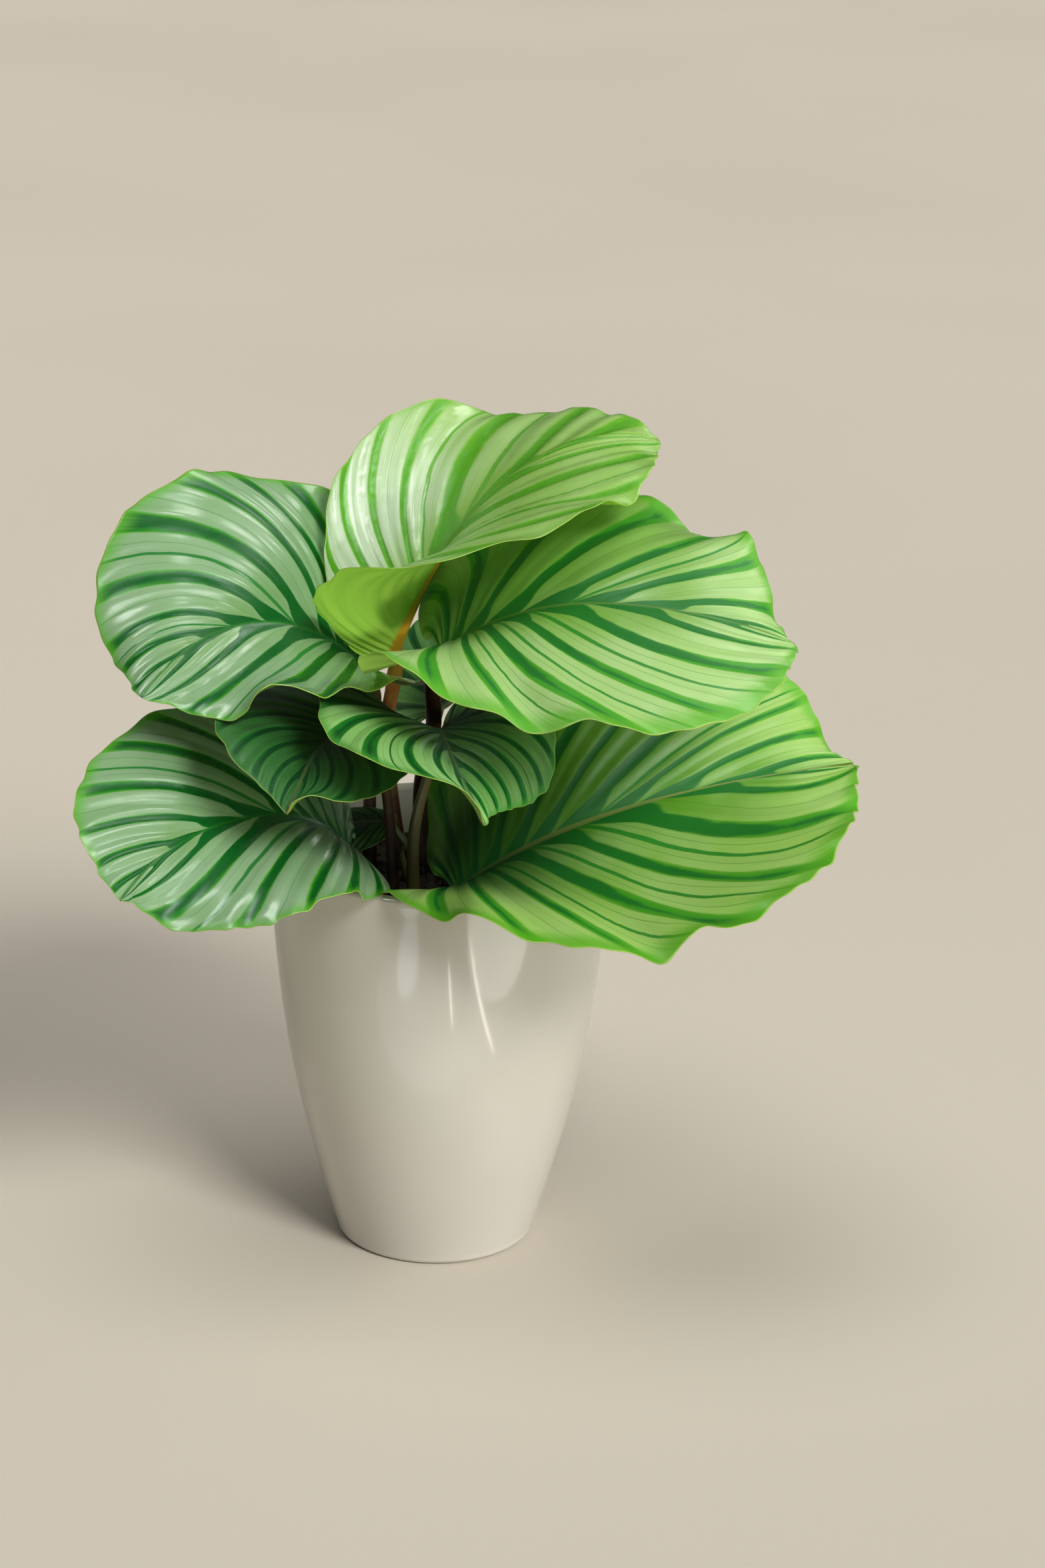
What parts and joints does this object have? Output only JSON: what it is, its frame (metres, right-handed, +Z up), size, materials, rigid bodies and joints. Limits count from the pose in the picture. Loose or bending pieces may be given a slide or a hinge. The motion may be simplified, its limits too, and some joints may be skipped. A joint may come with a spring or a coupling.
{
  "type": "potted calathea orbifolia",
  "caption": "Prayer plant with large round leaves striped in silver and green on bare stems, standing in a tapered glazed pot filled with soil.",
  "frame": {"origin": "under the middle of the pot, on the surface that it stands on", "axes": "+Z up; -Y is the side that the plant turns its leaves to; +X is to the right seen from that side"},
  "size_m": [0.3003, 0.244, 0.336],
  "materials": {
    "glaze": "smooth off-white glaze, clear highlights",
    "soil": "dark, damp, crumbly",
    "leaf_young": "very glossy, pale yellow-green with darker stripes",
    "leaf_bright": "satin, yellow-green bands between emerald stripes",
    "leaf_silver": "satin, silver-green bands between emerald stripes",
    "leaf_shade": "satin, dark green bands and stripes",
    "stem_brown": "smooth, reddish brown",
    "stem_olive": "smooth, olive green"
  },
  "bodies": {
    "root": {"pot": "glaze", "soil": "soil", "blade_top": "leaf_young", "petiole_top": "stem_brown", "blade_upper_left": "leaf_silver", "petiole_upper_left": "stem_brown", "blade_upper_right": "leaf_bright", "petiole_upper_right": "stem_brown", "blade_lower_left": "leaf_silver", "petiole_lower_left": "stem_olive", "blade_lower_right": "leaf_bright", "petiole_lower_right": "stem_olive", "blade_middle_left": "leaf_shade", "petiole_middle_left": "stem_brown", "blade_middle_right": "leaf_shade", "petiole_middle_right": "stem_olive", "blade_centre": "leaf_shade", "petiole_centre": "stem_olive", "blade_back": "leaf_shade", "petiole_back": "stem_brown"}
  },
  "joints": []
}
